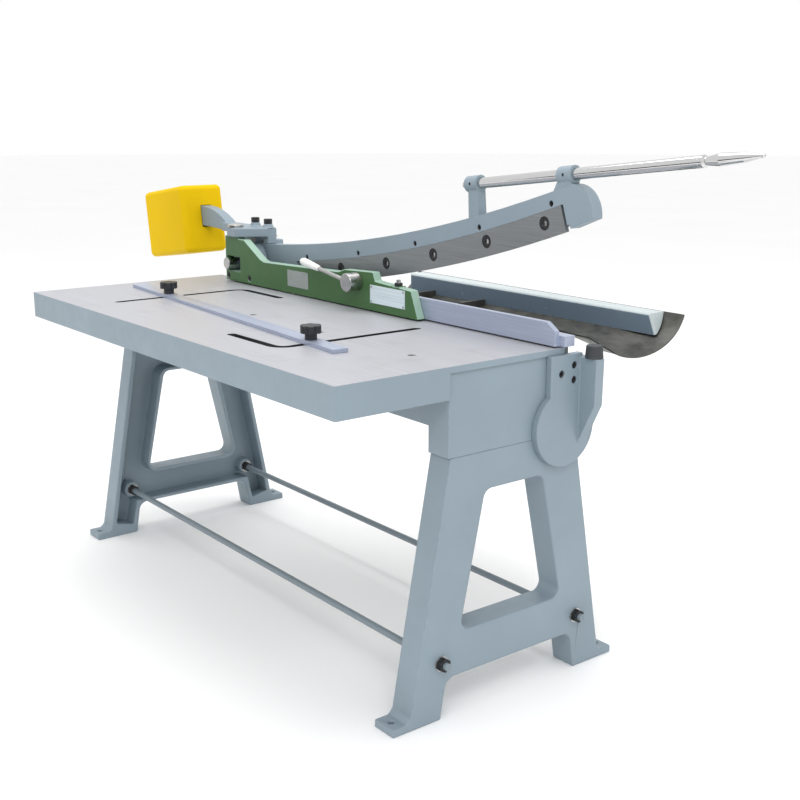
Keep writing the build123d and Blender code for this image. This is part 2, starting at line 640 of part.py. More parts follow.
def arm_top(x):
    """Height of the arm's top arc at x, from its three points."""
    (x1, z1), (x2, z2), (x3, z3) = TOP_ARC
    d = 2 * (x1 * (z2 - z3) + x2 * (z3 - z1) + x3 * (z1 - z2))
    s1, s2, s3 = x1 ** 2 + z1 ** 2, x2 ** 2 + z2 ** 2, x3 ** 2 + z3 ** 2
    cx = (s1 * (z2 - z3) + s2 * (z3 - z1) + s3 * (z1 - z2)) / d
    cz = (s1 * (x3 - x2) + s2 * (x1 - x3) + s3 * (x2 - x1)) / d
    return cz - sqrt((x1 - cx) ** 2 + (z1 - cz) ** 2 - (x - cx) ** 2)


def neck_solid():
    y = NECK_Y[0]
    top = ThreePointArc((NECK_END, y, 1070), (-845, y, 1063), (-762, y, PLATE_Z[1] - 1))
    rest = Polyline((-762, y, PLATE_Z[1] - 1), (-762, y, PLATE_Z[0] + 4), (-800, y, PLATE_Z[0] + 2),
                    (-880, y, 1006), (NECK_END, y, 1004), (NECK_END, y, 1070))
    body = extrude(make_face([top, rest]), amount=NECK_Y[1] - NECK_Y[0], dir=(0, 1, 0))
    return body - weight_screw_bar(-40, 32, 6)


def weight_screw_bar(z0, z1, r):
    """Cylinder on the clamping screw's axis, between heights in the tilted weight."""
    place = Pos(*WEIGHT_C) * Rot(0, -WEIGHT_TILT, 0)
    return place * Pos(*WEIGHT_SCREW, (z0 + z1) / 2) * Cylinder(r, z1 - z0)


def counterweight():
    """Rounded block with a pocket for the neck and a screw hole up from below."""
    place = Pos(*WEIGHT_C) * Rot(0, -WEIGHT_TILT, 0)
    body = Box(*WEIGHT_SIZE)
    body = place * fillet(body.edges(), WEIGHT_ROUND)
    pocket = [(NECK_END, 1001), (-900, 1001), (-900, 1076), (NECK_END, 1076)]
    body -= prism_y(pocket, (NECK_Y[0] - 1.5, NECK_Y[1] + 1.5))
    return body - weight_screw_bar(-WEIGHT_SIZE[2] / 2 - 1, 10, 6)


def counterweight_screw():
    body = weight_screw_bar(-WEIGHT_SIZE[2] / 2 + 3, 30, 6)
    place = Pos(*WEIGHT_C) * Rot(0, -WEIGHT_TILT, 0)
    key = extrude(RegularPolygon(3.5, 6), amount=9)
    return body - place * Pos(*WEIGHT_SCREW, -WEIGHT_SIZE[2] / 2 + 2) * key


def balance_hex_bolts():
    bolts = []
    for x, depth in zip(HEX_X, (70, 81)):
        bolts.append(hex_bolt((x, BOLT_Y, PLATE_Z[1] + HEX_BOSS), (0, 0, -1), 24, 16, 6, depth))
    return bolts


def balance_disc_bolt():
    head = bar_z(*DISC_XY, (PLATE_Z[1], PLATE_Z[1] + 9), 26)
    head = fillet(head.edges().group_by(Axis.Z)[-1], 2)
    return head + bar_z(*DISC_XY, (PLATE_Z[0] + 0.2, PLATE_Z[1] + 1), 8)


# ---- fixed beam and clamp ---------------------------------------------------------------------
def beam():
    """Fixed cast beam: tall post at the pivot end, boss at the cam, sloping free end."""
    x0, x1 = BEAM_X
    outline = [(x0, BEAM_LOW), (x1, BEAM_LOW), (x1 - 31, 929), (210, 936), (176, 938), (166, 961), (28, 955),
               (0, 946), (-300, 937), (-408, BEAM_RIDGE), (-430, 940), (-528, POST_TOP),
               (STOP_PAD[0], POST_TOP), STOP_PAD, (x0, STOP_PAD[1])]
    body = prism_y(outline, BEAM_Y)
    body += block((x0, -460), (BEAM_Y[1], CHEEK_FRONT[0]), (BEAM_LOW, 900))
    window = block((PIN_XZ[0] - 16, -556), (BEAM_Y[0] - 1, CHEEK_FRONT[0] + 1), (886, 934))
    body -= window + bar_y(PIN_XZ[0], (BEAM_Y[0] - 1, CHEEK_FRONT[0] + 1), PIN_XZ[1], PIN_R + 0.5)
    body -= bar_y(CAM_XZ[0], (BEAM_Y[0] - 1, BEAM_Y[1] + 1), CAM_XZ[1], 15.05)
    for x in GUIDE_X:
        body -= bar_y(x, (BEAM_Y[1] - 16, BEAM_Y[1] + 1), GUIDE_Z, 5)
    for x, z in BEAM_BOLTS:
        body -= bar_y(x, (BEAM_Y[0] - 1, CHEEK_FRONT[0] + 1), z, 6.1)
        body -= bar_y(x, (BEAM_Y[0] - 1, BEAM_Y[0] + 9), z, 10)
    for x, z in rivet_places():
        body -= bar_y(x, (BEAM_Y[0] - 1, BEAM_Y[0] + 5), z, 1.5)
    x = STUD_XY[0]
    body -= block((x - 13, x + 13), (BEAM_Y[0] - 1, BEAM_Y[1] + 1), (STUD_FLAT, BEAM_RIDGE + 6))
    return body - bar_z(*STUD_XY, (910, 960), STUD_BORE)


def rivet_places():
    (x0, x1), (z0, z1) = PLATE_BOX
    return [(x, z) for x in (x0 + 6, x1 - 6) for z in (z0 + 5, z1 - 5)]


def beam_bolts():
    return [socket_screw((x, BEAM_Y[0] + 9, z), (0, 1, 0), 9.5, 8, 6, CHEEK_FRONT[1] - BEAM_Y[0] - 14)
            for x, z in BEAM_BOLTS]


def anchor_pin():
    head = bar_y(PIN_XZ[0], (74, CHEEK_FRONT[0]), PIN_XZ[1], PIN_R)
    head = fillet(head.edges().group_by(Axis.Y)[0], 2)
    return head + bar_y(PIN_XZ[0], (CHEEK_FRONT[0] - 1, CHEEK_FRONT[1] - 4), PIN_XZ[1], 12)


def nameplate():
    (x0, x1), z = PLATE_BOX
    body = block((x0, x1), (BEAM_Y[0] - 1.5, BEAM_Y[0]), z)
    for x, rz in rivet_places():
        body -= bar_y(x, (BEAM_Y[0] - 3, BEAM_Y[0] + 1), rz, 1.6)
    return body


def nameplate_rivets():
    rivets = []
    for x, z in rivet_places():
        head = bar_y(x, (BEAM_Y[0] - 2.6, BEAM_Y[0] - 1.5), z, 3)
        rivets.append(head + bar_y(x, (BEAM_Y[0] - 2, BEAM_Y[0] + 4), z, 1.5))
    return rivets


def label():
    x, z = LABEL_BOX
    return block(x, (BEAM_Y[0] - 1, BEAM_Y[0]), z)


def stop_stud():
    return bar_z(*STUD_XY, (912, 950), STUD_BORE)


def stop_nut():
    nut = hexagon((STUD_XY[0], STUD_XY[1], STUD_FLAT), (0, 0, 1), 20, 10)
    return nut - bar_z(STUD_XY[0], STUD_XY[1], (930, 960), STUD_BORE)


def clamp_bar():
    """Machined bar behind the beam with a foot reaching to the cut; slides down to grip the sheet."""
    x0, x1 = CLAMP_X
    face = [(x0, CLAMP_LOW), (x1, CLAMP_LOW), (x1, 891), (x1 - 30, CLAMP_TOP), (150, CLAMP_TOP), (140, 952),
            (50, 952), (40, CLAMP_TOP), (x0, CLAMP_TOP)]
    body = prism_y(face, CLAMP_Y)
    body += block((x0, FOOT_END), (CLAMP_Y[1], FOOT_Y), (CLAMP_LOW, FOOT_TOP))
    lift = CAM_THROW * sin(pi / 4)
    slot = (CAM_XZ[1] + lift - ECC_R - 0.15, CAM_XZ[1] + lift + ECC_R + 0.15)
    body -= block((CAM_XZ[0] - 20, CAM_XZ[0] + 20), (CLAMP_Y[0] - 1, CLAMP_Y[1] + 1), slot)
    for x in GUIDE_X:
        for z in (GUIDE_Z, GUIDE_Z + 4):
            body -= bar_y(x, (CLAMP_Y[0] - 1, CLAMP_Y[1] + 1), z, 7.6)
        body -= block((x - 7.6, x + 7.6), (CLAMP_Y[0] - 1, CLAMP_Y[1] + 1), (GUIDE_Z, GUIDE_Z + 4))
    return body


def guide_screws():
    """Shoulder screws from behind: the bar slides on the shoulder, the head keeps it on the beam."""
    screws = []
    for x in GUIDE_X:
        shoulder = bar_y(x, (BEAM_Y[1], CLAMP_Y[1] + 0.3), GUIDE_Z, 7)
        head = bar_y(x, (CLAMP_Y[1] + 0.3, CLAMP_Y[1] + 7), GUIDE_Z, 12)
        key = hexagon((x, CLAMP_Y[1] + 3, GUIDE_Z), (0, 1, 0), 8, 6)
        screws.append(shoulder + head + bar_y(x, (BEAM_Y[1] - 15, BEAM_Y[1] + 1), GUIDE_Z, 5) - key)
    return screws


def cam_shaft():
    """Hub on the front, journal through the beam, eccentric working in the clamp bar's slot."""
    x, z = CAM_XZ
    hub = bar_y(x, (CAM_FACE_Y, BEAM_Y[0] - 0.5), z, CAM_R)
    hub = fillet(hub.edges().group_by(Axis.Y)[0], 3)
    journal = bar_y(x, (BEAM_Y[0] - 1, BEAM_Y[1] + 0.05), z, 15)
    shift = CAM_THROW * cos(pi / 4)
    ecc = bar_y(x + shift, (BEAM_Y[1], CLAMP_Y[1] + 3), z + shift, ECC_R)
    retainer = bar_y(x, (CLAMP_Y[1] + 0.3, CLAMP_Y[1] + 6), z, 22)
    body = hub + journal + ecc + retainer
    body -= bar_z(x + 4, LEVER_Y + 6, (z + 14, z + CAM_R + 2), 4)
    return body - lever_axis_bar(0, 34, 8)


def lever_axis_bar(s0, s1, r):
    a = radians(LEVER_ANGLE)
    plane = Plane(origin=(CAM_XZ[0] + s0 * cos(a), LEVER_Y, CAM_XZ[1] + s0 * sin(a)), z_dir=(cos(a), 0, sin(a)))
    return plane * Pos(0, 0, (s1 - s0) / 2) * Cylinder(r, s1 - s0)


def cam_lever():
    return lever_axis_bar(2, 34, 8) + lever_axis_bar(33, 150, 6) + lever_axis_bar(149, 220, 4)


def lever_grip():
    a = radians(LEVER_ANGLE)
    foot = (CAM_XZ[0] + 150 * cos(a), LEVER_Y, CAM_XZ[1] + 150 * sin(a))
    plane = Plane(origin=foot, z_dir=(cos(a), 0, sin(a)))
    stations = [(7, 0), (9, 8), (11.5, 60), (11.5, 82), (8, 92)]
    outline = [(0, 0)] + stations + [(0, 95)]
    body = revolve(make_face(Polyline(*[(r, 0, s) for r, s in outline], close=True)), Axis.Z)
    return plane * body - lever_axis_bar(149, 220.5, 4)


def cam_grub_screw():
    x, z = CAM_XZ[0] + 4, CAM_XZ[1]
    body = bar_z(x, LEVER_Y + 6, (z + 14.2, z + CAM_R - 3), 4)
    return body - hexagon((x, LEVER_Y + 6, z + CAM_R - 7), (0, 0, 1), 4, 6)


# ---- end bracket ------------------------------------------------------------------------------
def end_bracket():
    """Plate on the bed end with a rounded lower end and a lug that carries the bumper."""
    x = (FRAME_X, FRAME_X + END_T)
    y, z, r = END_BOWL
    body = block(x, END_Y, (z, END_TOP)) + bar_x(x, y, z, r)
    top = END_TOP - LUG_DROP
    lug = [(x[0], top), (LUG_END, top), (LUG_END - 2, 710), (x[1], 610), (x[0], 610)]
    body += prism_y(lug, LUG_Y)
    for sy, sz in END_SCREWS:
        body -= bar_x((x[0] - 1, x[1] + 1), sy, sz, END_SCREW_R + 0.1)
        body -= bar_x((x[1] - 12, x[1] + 1), sy, sz, END_HEAD_R + 0.5)
    body -= bar_z(*BUMPER_XY, (END_TOP - 40, END_TOP), 6)
    return body


def end_bracket_screws():
    seat = FRAME_X + END_T - 12
    return [socket_screw((seat, y, z), (-1, 0, 0), END_HEAD_R, 8, END_SCREW_R, 20) for y, z in END_SCREWS]


def bumper():
    """Rubber buffer the closing arm lands on, with its moulded-in stud."""
    base = END_TOP - LUG_DROP
    body = Pos(*BUMPER_XY, base + BUMPER_H / 2) * Cone(*BUMPER_R, BUMPER_H)
    body = fillet(body.edges().group_by(Axis.Z)[-1], 3)
    return body + bar_z(*BUMPER_XY, (base - 24, base + 1), 6)


# ---- gauge ------------------------------------------------------------------------------------
def gauge_y(x):
    return GAUGE_Y + x * tan(radians(GAUGE_TILT))


def gauge_bar():
    """Flat bar lying across the table, held by a stud in each slot."""
    mid = sum(GAUGE_X) / 2
    length = (GAUGE_X[1] - GAUGE_X[0]) / cos(radians(GAUGE_TILT))
    thick = GAUGE_T - 0.1
    body = Rot(0, 0, GAUGE_TILT) * Box(length, GAUGE_W, thick)
    body = Pos(mid, gauge_y(mid), TABLE_Z + GAUGE_T - thick / 2) * body
    for x in (-SLOT_X, SLOT_X):
        body -= bar_z(x, gauge_y(x), (TABLE_Z - 1, TABLE_Z + GAUGE_T + 1), STUD_R + 0.05)
    return body


def gauge_studs():
    """T-head studs up through the slots and the gauge bar."""
    studs = []
    low = TABLE_Z - TABLE_T - 1
    for x in (-SLOT_X, SLOT_X):
        y = gauge_y(x)
        shank = bar_z(x, y, (low - 9, TABLE_Z + GAUGE_T + 26), STUD_R)
        head = block((x - STUD_HEAD, x + STUD_HEAD), (y - STUD_HEAD, y + STUD_HEAD), (low - 9, low))
        studs.append(shank + head)
    return studs


def star_knob(x):
    """Six-lobed clamping knob on a round skirt."""
    base = TABLE_Z + GAUGE_T
    y = gauge_y(x)
    skirt = bar_z(x, y, (base + 0.1, base + 18), 15)
    head = bar_z(x, y, (base + 16, base + 35), KNOB_R)
    for i in range(6):
        a = radians(60 * i)
        head -= bar_z(x + 29 * cos(a), y + 29 * sin(a), (base + 15, base + 36), 7)
    head = fillet(head.edges().filter_by(Axis.Z), 2)
    head = fillet(head.edges().group_by(Axis.Z)[-1], 2.5)
    bore = bar_z(x, y, (base - 1, base + 28), STUD_R + 0.05)
    return skirt + head - bore


# ---- offcut tray ------------------------------------------------------------------------------
def tray_line(points, x, shift=(0, 0)):
    return Spline(*[(x, y + shift[0], z + shift[1]) for y, z in points])


def tray_section(points, x):
    """Cross-section of the bent sheet at x."""
    inner = tray_line(points, x)
    outer = tray_line(points, x, TRAY_SHIFT)
    return make_face([inner, outer, Line(inner @ 0, outer @ 0), Line(inner @ 1, outer @ 1)])


def tray_sheet():
    """Shallow bent trough whose floor drops at the discharge end."""
    body = extrude(tray_section(TRAY_PROFILE, TRAY_X[0]), amount=TRAY_STEP[0] - TRAY_X[0], dir=(1, 0, 0))
    body += loft([tray_section(TRAY_PROFILE, TRAY_STEP[0]), tray_section(TRAY_DEEP, TRAY_STEP[1])])
    return body + loft([tray_section(TRAY_DEEP, TRAY_STEP[1]), tray_section(TRAY_LIP, TRAY_X[1])])


def above_tray():
    """Everything above the underside of the tray, used to shape what carries it."""
    low = tray_line(TRAY_PROFILE, TRAY_X[0], TRAY_SHIFT)
    start, end = low @ 0, low @ 1
    top = Polyline(end, (end.X, end.Y, 940), (start.X, start.Y, 940), start)
    return extrude(make_face([low, top]), amount=TRAY_X[1] - TRAY_X[0], dir=(1, 0, 0))


def below_tray():
    """Everything under the inner surface of the trough, used to fit the guard to it."""
    high = tray_line(TRAY_PROFILE, TRAY_X[0], (0, 0.05))
    start, end = high @ 0, high @ 1
    low = Polyline(end, (end.X, end.Y + 20, end.Z), (end.X, end.Y + 20, 700), (start.X, start.Y, 700), start)
    return extrude(make_face([high, low]), amount=TRAY_X[1] - TRAY_X[0], dir=(1, 0, 0))


def offcut_tray():
    """Chute from behind the blade to an upturned rear lip, with two webs in front of the guard."""
    body = tray_sheet()
    for x in RIB_X:
        body += prism_x(RIB_PROFILE, (x - BRACKET_T / 2, x + BRACKET_T / 2))
    for x in tray_bolt_places():
        body -= bar_z(x, TRAY_BOLT_Y, (TRAY_BOLT_Z - 20, TRAY_BOLT_Z + 10), 4.1)
    return body


def tray_bolt_places():
    return [x - 22 for x in BRACKET_X]


def guard_prism(inset):
    """Outline of the guard seen from the front, drawn in on all sides by inset."""
    x0, x1 = GUARD_X
    z0, z1 = GUARD_Z
    outline = [(x0 + inset, z0 - inset), (x1 - inset, z0 - inset), (x1 - GUARD_SLANT - inset, z1 - inset),
               (x0 + inset, z1 - inset)]
    return prism_y(outline, (GUARD_Y[0] + inset, GUARD_Y[1] + inset))


def tray_back_plate():
    """Folded guard along the rear wall: upright face, rounded top and closed ends."""
    body = guard_prism(0)
    front = body.faces().sort_by(Axis.Y)[0]
    rounded = front.edges().sort_by(Axis.Z)[1:]
    body = fillet(rounded, GUARD_R)
    return body - guard_prism(GUARD_T) - below_tray()


def bracket_bolt_places():
    return [(x + side, BRACKET_BOLT_Z) for x in BRACKET_X for side in (-20, 20)]


def tray_bracket(x):
    """Cast arm from the bed's rear wall under the blade path and up under the tray."""
    outline = [(BED_Y[1], 705), (BED_Y[1], 778), (238, 790), (275, 838), (292, 846), (460, 846), (452, 800),
               (300, 745), (200, 705)]
    body = prism_x(outline, (x - BRACKET_T / 2, x + BRACKET_T / 2))
    body += block((x - 30, x + 30), (BED_Y[1], BED_Y[1] + 12), (705, 778))
    body += block((x - 34, x + 14), (TRAY_BOLT_Y - 20, TRAY_BOLT_Y + 25), (800, 835))
    body -= above_tray()
    for bx, z in bracket_bolt_places():
        body -= bar_y(bx, (BED_Y[1] - 1, BED_Y[1] + 13), z, 6.1)
    return body - bar_z(x - 22, TRAY_BOLT_Y, (TRAY_BOLT_Z - 25, TRAY_BOLT_Z), 4)


def tray_bolts():
    """Hexagon bolts whose heads bed on the curved sheet."""
    sheet = tray_sheet()
    return [hex_bolt((x, TRAY_BOLT_Y, TRAY_BOLT_Z), (0, 0, -1), 13, 8, 4, 12) - sheet_below(x, sheet)
            for x in tray_bolt_places()]


def sheet_below(x, sheet):
    """The part of the sheet under one bolt head, without the bolt's own hole."""
    return sheet - bar_z(x, TRAY_BOLT_Y, (TRAY_BOLT_Z - 25, TRAY_BOLT_Z + 10), 4)


def bracket_bolts():
    return [hex_bolt((x, BED_Y[1] + 12, z), (0, -1, 0), 18, 8, 6, 32) for x, z in bracket_bolt_places()]


def group(items):
    return Compound(children=[Part() + item for item in items]) if len(items) > 1 else items[0]


def pieces():
    near = leg_frame()
    return {
        "near_leg_frame": near,
        "far_leg_frame": mirror(near, about=Plane.YZ),
        "front_tie_rod": tie_rod(-ROD_Y),
        "rear_tie_rod": tie_rod(ROD_Y),
        "tie_rod_nuts": group(tie_rod_nuts()),
        "tie_rod_washers": group(tie_rod_washers()),
        "frame_bolts": group(frame_bolts()),
        "bed": bed(),
        "table": table(),
        "table_screws": group(table_screws()),
        "lower_blade": lower_blade(),
        "lower_blade_screws": group(lower_blade_screws()),
        "pivot_bracket": pivot_bracket(),
        "pivot_bracket_bolts": group(pedestal_bolts()),
        "pivot_shaft": pivot_shaft(),
        "shaft_collar": shaft_collar(),
        "pivot_bush": pivot_bush(),
        "hold_down_beam": beam(),
        "beam_bolts": group(beam_bolts()),
        "beam_anchor_pin": anchor_pin(),
        "nameplate": nameplate(),
        "nameplate_rivets": group(nameplate_rivets()),
        "small_label": label(),
        "stop_stud": stop_stud(),
        "stop_nut": stop_nut(),
        "clamp_bar": clamp_bar(),
        "clamp_guide_screws": group(guide_screws()),
        "cam_shaft": cam_shaft(),
        "cam_lever": cam_lever(),
        "cam_lever_grip": lever_grip(),
        "cam_grub_screw": cam_grub_screw(),
        "end_bracket": end_bracket(),
        "end_bracket_screws": group(end_bracket_screws()),
        "rubber_bumper": bumper(),
        "blade_arm": blade_arm(),
        "upper_blade": upper_blade(),
        "upper_blade_screws": group(upper_blade_screws()),
        "blade_set_screws": group(set_screws()),
        "balance_arm": balance_arm(),
        "balance_arm_bolts": group(balance_hex_bolts()),
        "balance_disc_bolt": balance_disc_bolt(),
        "counterweight": counterweight(),
        "counterweight_screw": counterweight_screw(),
        "handle_rod": handle_rod(),
        "handle_grip": handle_grip(),
        "handle_grub_screws": group(handle_grub_screws()),
        "gauge_bar": gauge_bar(),
        "gauge_studs": group(gauge_studs()),
        "left_star_knob": star_knob(-SLOT_X),
        "right_star_knob": star_knob(SLOT_X),
        "offcut_tray": offcut_tray(),
        "tray_back_plate": tray_back_plate(),
        "left_tray_bracket": tray_bracket(BRACKET_X[0]),
        "right_tray_bracket": tray_bracket(BRACKET_X[1]),
        "tray_bolts": group(tray_bolts()),
        "tray_bracket_bolts": group(bracket_bolts()),
    }


os.makedirs("parts", exist_ok=True)
for name, shape in pieces().items():
    export_step(shape, f"parts/{name}.step")
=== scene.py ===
import bmesh
import bpy
import json
from math import cos, radians, sin
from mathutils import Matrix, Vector


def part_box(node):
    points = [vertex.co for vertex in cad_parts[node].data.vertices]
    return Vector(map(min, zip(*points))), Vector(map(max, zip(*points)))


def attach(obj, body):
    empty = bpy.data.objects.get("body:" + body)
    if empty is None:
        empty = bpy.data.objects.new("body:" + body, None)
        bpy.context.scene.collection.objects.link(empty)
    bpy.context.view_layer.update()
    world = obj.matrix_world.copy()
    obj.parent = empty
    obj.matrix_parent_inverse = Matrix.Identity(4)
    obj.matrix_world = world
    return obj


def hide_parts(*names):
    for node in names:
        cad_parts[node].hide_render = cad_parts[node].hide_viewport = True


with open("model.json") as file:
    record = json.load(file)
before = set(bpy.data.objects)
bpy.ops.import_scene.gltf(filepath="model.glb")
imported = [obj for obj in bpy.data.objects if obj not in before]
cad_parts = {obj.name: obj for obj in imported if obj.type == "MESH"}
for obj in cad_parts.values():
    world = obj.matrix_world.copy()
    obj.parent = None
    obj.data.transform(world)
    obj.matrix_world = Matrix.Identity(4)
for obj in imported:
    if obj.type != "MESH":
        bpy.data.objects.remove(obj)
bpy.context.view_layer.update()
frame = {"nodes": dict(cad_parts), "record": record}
NODES = frame["nodes"]
SLOT_OF = {row["node"]: row["material_slot"] for row in frame["record"]["subparts"]}
BODY_OF = {n: body for body, names in frame["record"]["behaviour"]["bodies"].items() for n in names}
MM = 0.001

# ---- view and light ---------------------------------------------------------------------------
CAMERA_AT = (2.7403, -1.8195, 1.3846)
CAMERA_TURN = radians(52.1)      # the view's direction, turned from +Y towards -X
CAMERA_PITCH = radians(13.8)
CAMERA_LENS = 52.3
SENSOR = 36
LIGHT_AIM = (0, 0, 0.8)
KEY_AT, KEY_SIZE, KEY_POWER = (3.5, -2.5, 4.5), (3.0, 2.0), 90
TOP_AT, TOP_SIZE, TOP_POWER = (-0.5, 0.5, 4.8), (4.0, 3.0), 110
FLOOR_RADIUS = 40
CARD_X, CARD_Y, CARD_Z = (-3.0, 4.0), -3.4, (0.05, 1.0)
# ---- meshes -----------------------------------------------------------------------------------
WELD = 2e-5                      # vertices closer than this are one
FLAT_ANGLE = 0.05                # faces within this many degrees are one flat
ROUND_FROM = 28                  # edges sharper than this many degrees are rounded
SHARP_FROM = 34                  # and shading breaks at what is still sharper than this
ROUND_STEPS = 2
TABLE_RIM = 20 * MM              # faces nearer the table's outline than this are its apron
SLOT_SHADE_DEPTH = 17 * MM             # slot walls painted black, as painted shade, reach this far below the top
BEAM_LIT_FROM = 0.25            # upward slope from which the green beam's faces are painted paler, a painted highlight
# slope, up or towards +X, from which the guard's faces are painted paler, a painted highlight
GUARD_LIT_FROM = 0.35
SOCKET_DEPTH = (1.5 * MM, 6 * MM)
CAST_ROUNDING = 2.5 * MM         # edge rounding seen in a casting's shading


# ---- material graphs --------------------------------------------------------------------------
class Graph:
    """A material being wired: short calls for the nodes that every finish here uses."""

    def __init__(self, name):
        self.material = bpy.data.materials.new(name)
        self.material.use_nodes = True
        self.tree = self.material.node_tree
        self.shader = self.tree.nodes["Principled BSDF"]
        self.place = self.node("ShaderNodeTexCoord").outputs["Object"]

    def node(self, kind, **settings):
        made = self.tree.nodes.new(kind)
        for key, value in settings.items():
            setattr(made, key, value)
        return made

    def plug(self, source, socket):
        if hasattr(source, "links"):
            self.tree.links.new(source, socket)
        else:
            socket.default_value = source
        return socket

    def stretch(self, scale, shift=(0, 0, 0)):
        mapping = self.node("ShaderNodeMapping")
        self.plug(self.place, mapping.inputs["Vector"])
        mapping.inputs["Scale"].default_value = scale
        mapping.inputs["Location"].default_value = shift
        return mapping.outputs["Vector"]

    def noise(self, scale, detail=3.0, rough=0.55, at=None):
        made = self.node("ShaderNodeTexNoise")
        self.plug(at or self.place, made.inputs["Vector"])
        made.inputs["Scale"].default_value = scale
        made.inputs["Detail"].default_value = detail
        made.inputs["Roughness"].default_value = rough
        return made.outputs["Fac"]

    def cells(self, scale, at=None):
        made = self.node("ShaderNodeTexVoronoi")
        self.plug(at or self.place, made.inputs["Vector"])
        made.inputs["Scale"].default_value = scale
        return made.outputs["Distance"]

    def ramp(self, value, low, high, start=0.0, end=1.0):
        """Remap value from low..high to start..end, clamped."""
        made = self.node("ShaderNodeMapRange")
        self.plug(value, made.inputs["Value"])
        for key, number in (("From Min", low), ("From Max", high), ("To Min", start), ("To Max", end)):
            made.inputs[key].default_value = number
        return made.outputs["Result"]

    def sum(self, a, b, kind="ADD"):
        made = self.node("ShaderNodeMath", operation=kind)
        self.plug(a, made.inputs[0])
        self.plug(b, made.inputs[1])
        return made.outputs[0]

    def mix(self, factor, a, b):
        made = self.node("ShaderNodeMix", data_type="RGBA")
        self.plug(factor, made.inputs["Factor"])
        colours = [socket for socket in made.inputs if socket.type == "RGBA"]
        self.plug(a, colours[0])
        self.plug(b, colours[1])
        return [socket for socket in made.outputs if socket.type == "RGBA"][0]

    def edges(self, radius=0.004, low=0.02, high=0.25):
        """Mask bright along edges, where a rounded normal leaves the true one; the finishes use it to
        paint edges lighter, as painted highlights (and, on enamel, edge wear).
        """
        round_off = self.node("ShaderNodeBevel", samples=4)
        round_off.inputs["Radius"].default_value = radius
        flat = self.node("ShaderNodeNewGeometry").outputs["Normal"]
        dot = self.node("ShaderNodeVectorMath", operation="DOT_PRODUCT")
        self.plug(round_off.outputs["Normal"], dot.inputs[0])
        self.plug(flat, dot.inputs[1])
        return self.ramp(self.sum(1.0, dot.outputs["Value"], "SUBTRACT"), low, high)

    def bump(self, height, distance, strength=1.0, under=None):
        made = self.node("ShaderNodeBump")
        made.inputs["Strength"].default_value = strength
        made.inputs["Distance"].default_value = distance
        self.plug(height, made.inputs["Height"])
        if under is not None:
            self.plug(under, made.inputs["Normal"])
        return made.outputs["Normal"]

    def finish(self, colour, roughness, normal, metallic=0.0, **extra):
        self.plug(colour, self.shader.inputs["Base Color"])
        self.plug(roughness, self.shader.inputs["Roughness"])
        self.plug(normal, self.shader.inputs["Normal"])
        self.shader.inputs["Metallic"].default_value = metallic
        for key, value in extra.items():
            self.plug(value, self.shader.inputs[key.replace("_", " ")])
        return self.material


def rgb(r, g, b):
    return (r, g, b, 1.0)


def enamel(name, colour, wear_and_highlight_tone, rough=0.42, cast=0.35, shine=0.5):
    """Brushed enamel over a casting: soft mottling, sand-cast grain, orange peel, and edges painted
    paler, partly as edge wear and partly as a painted highlight.
    """
    g = Graph(name)
    drift = g.noise(3.0, 4)
    light = tuple(min(1.0, c * 1.04) for c in colour[:3]) + (1.0,)
    dark = tuple(c * 0.94 for c in colour[:3]) + (1.0,)
    tone = g.mix(g.ramp(drift, 0.35, 0.68), dark, light)
    specks = g.ramp(g.noise(140.0, 2), 0.66, 0.74, 0.0, 0.22)
    tone = g.mix(specks, tone, dark)
    # edges painted paler: partly edge wear, partly a painted highlight of the rounded edges
    edge_wear_and_highlight = g.sum(g.edges(), g.ramp(g.noise(60.0, 4), 0.40, 0.62), "MULTIPLY")
    tone = g.mix(g.sum(edge_wear_and_highlight, 0.75, "MULTIPLY"), tone, wear_and_highlight_tone)
    gloss = g.ramp(g.noise(22.0, 5), 0.3, 0.7, rough - 0.07, rough + 0.10)
    rounded = g.node("ShaderNodeBevel", samples=4)
    rounded.inputs["Radius"].default_value = CAST_ROUNDING
    sand = g.bump(g.noise(420.0, 3, 0.7), 0.0005, cast, under=rounded.outputs["Normal"])
    waves = g.bump(g.noise(34.0, 2), 0.0016, 0.35, under=sand)
    return g.finish(tone, gloss, waves, Specular_IOR_Level=shine)


def machined(name, colour, grain=(4, 900, 900), rough=0.36, metallic=0.75, stain=0.10):
    """Ground or planed steel and iron: fine parallel lines, faint stains, edges painted brighter as a
    painted highlight.
    """
    g = Graph(name)
    lines = g.noise(1.0, 3, 0.6, at=g.stretch(grain))
    broad = g.noise(1.0, 2, 0.5, at=g.stretch(tuple(s * 0.12 for s in grain), (3.1, 1.7, 0.4)))
    light = tuple(min(1.0, c * 1.13) for c in colour[:3]) + (1.0,)
    dark = tuple(c * 0.80 for c in colour[:3]) + (1.0,)
    tone = g.mix(g.ramp(lines, 0.3, 0.7), dark, light)
    tone = g.mix(g.ramp(broad, 0.42, 0.62, 0.0, 0.35), tone, colour)
    spots = g.ramp(g.noise(9.0, 6, 0.65), 0.56, 0.72, 0.0, stain)
    tone = g.mix(spots, tone, rgb(colour[0] * 0.62, colour[1] * 0.58, colour[2] * 0.52))
    # edges painted lighter: a painted highlight
    tone = g.mix(g.sum(g.edges(0.0015), 0.6, "MULTIPLY"), tone, light)
    gloss = g.ramp(lines, 0.3, 0.7, rough - 0.06, rough + 0.10)
    return g.finish(tone, gloss, g.bump(lines, 0.0002, 0.25), metallic)


def turned(name, colour, rough, metallic=1.0, scratch=0.12):
    """Turned or drawn bright metal: hairline scratches and finger marks in the gloss."""
    g = Graph(name)
    hair = g.noise(1.0, 2, 0.6, at=g.stretch((30, 900, 900)))
    smear = g.noise(26.0, 4, 0.6)
    dark = tuple(c * 0.78 for c in colour[:3]) + (1.0,)
    tone = g.mix(g.ramp(hair, 0.35, 0.65, 0.0, scratch * 3), colour, dark)
    gloss = g.ramp(smear, 0.35, 0.7, rough * 0.7, rough * 1.6)
    return g.finish(tone, gloss, g.bump(hair, 0.0001, scratch), metallic)


